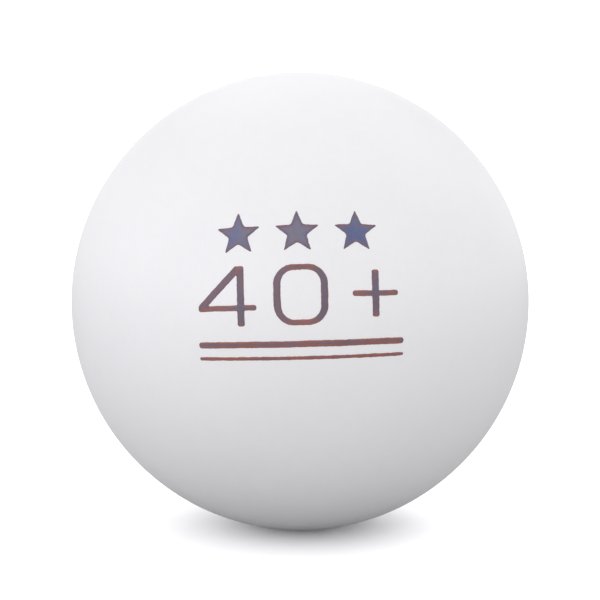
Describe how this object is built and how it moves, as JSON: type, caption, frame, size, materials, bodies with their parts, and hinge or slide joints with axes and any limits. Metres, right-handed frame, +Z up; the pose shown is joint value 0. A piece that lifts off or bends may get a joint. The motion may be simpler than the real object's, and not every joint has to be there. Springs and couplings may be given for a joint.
{
  "type": "table tennis ball",
  "caption": "Hollow plastic table tennis ball: half shells cemented in a stepped lap joint, with a grade and size mark in thin ink on one side.",
  "frame": {"origin": "centre of the ball", "axes": "+Z up as the ball stands; +Y is the axis of the seam and the turning axis of both half shells, and points at the plain half's pole; the printed mark faces -Y, turned up by 8 degrees; +X is to the right of the mark"},
  "size_m": [0.04, 0.0402, 0.04],
  "materials": {
    "shell": "tumbled and powdered white plastic, satin-matte, very fine even grain",
    "cement": "hardened cement, ground flush outside, a smooth rounded bead inside",
    "star_ink": "pad-printed ink, slate blue with a mauve edge, slightly grainy",
    "mark_ink": "pad-printed ink, purple-brown, slightly grainy"
  },
  "bodies": {
    "root": {"printed_half_shell": "shell", "plain_half_shell": "shell", "seam_cement": "cement", "star_print_left": "star_ink", "star_print_centre": "star_ink", "star_print_right": "star_ink", "print_digit_4": "mark_ink", "print_digit_0": "mark_ink", "print_plus_sign": "mark_ink", "print_rule_broad": "mark_ink", "print_rule_fine": "mark_ink"}
  },
  "joints": []
}
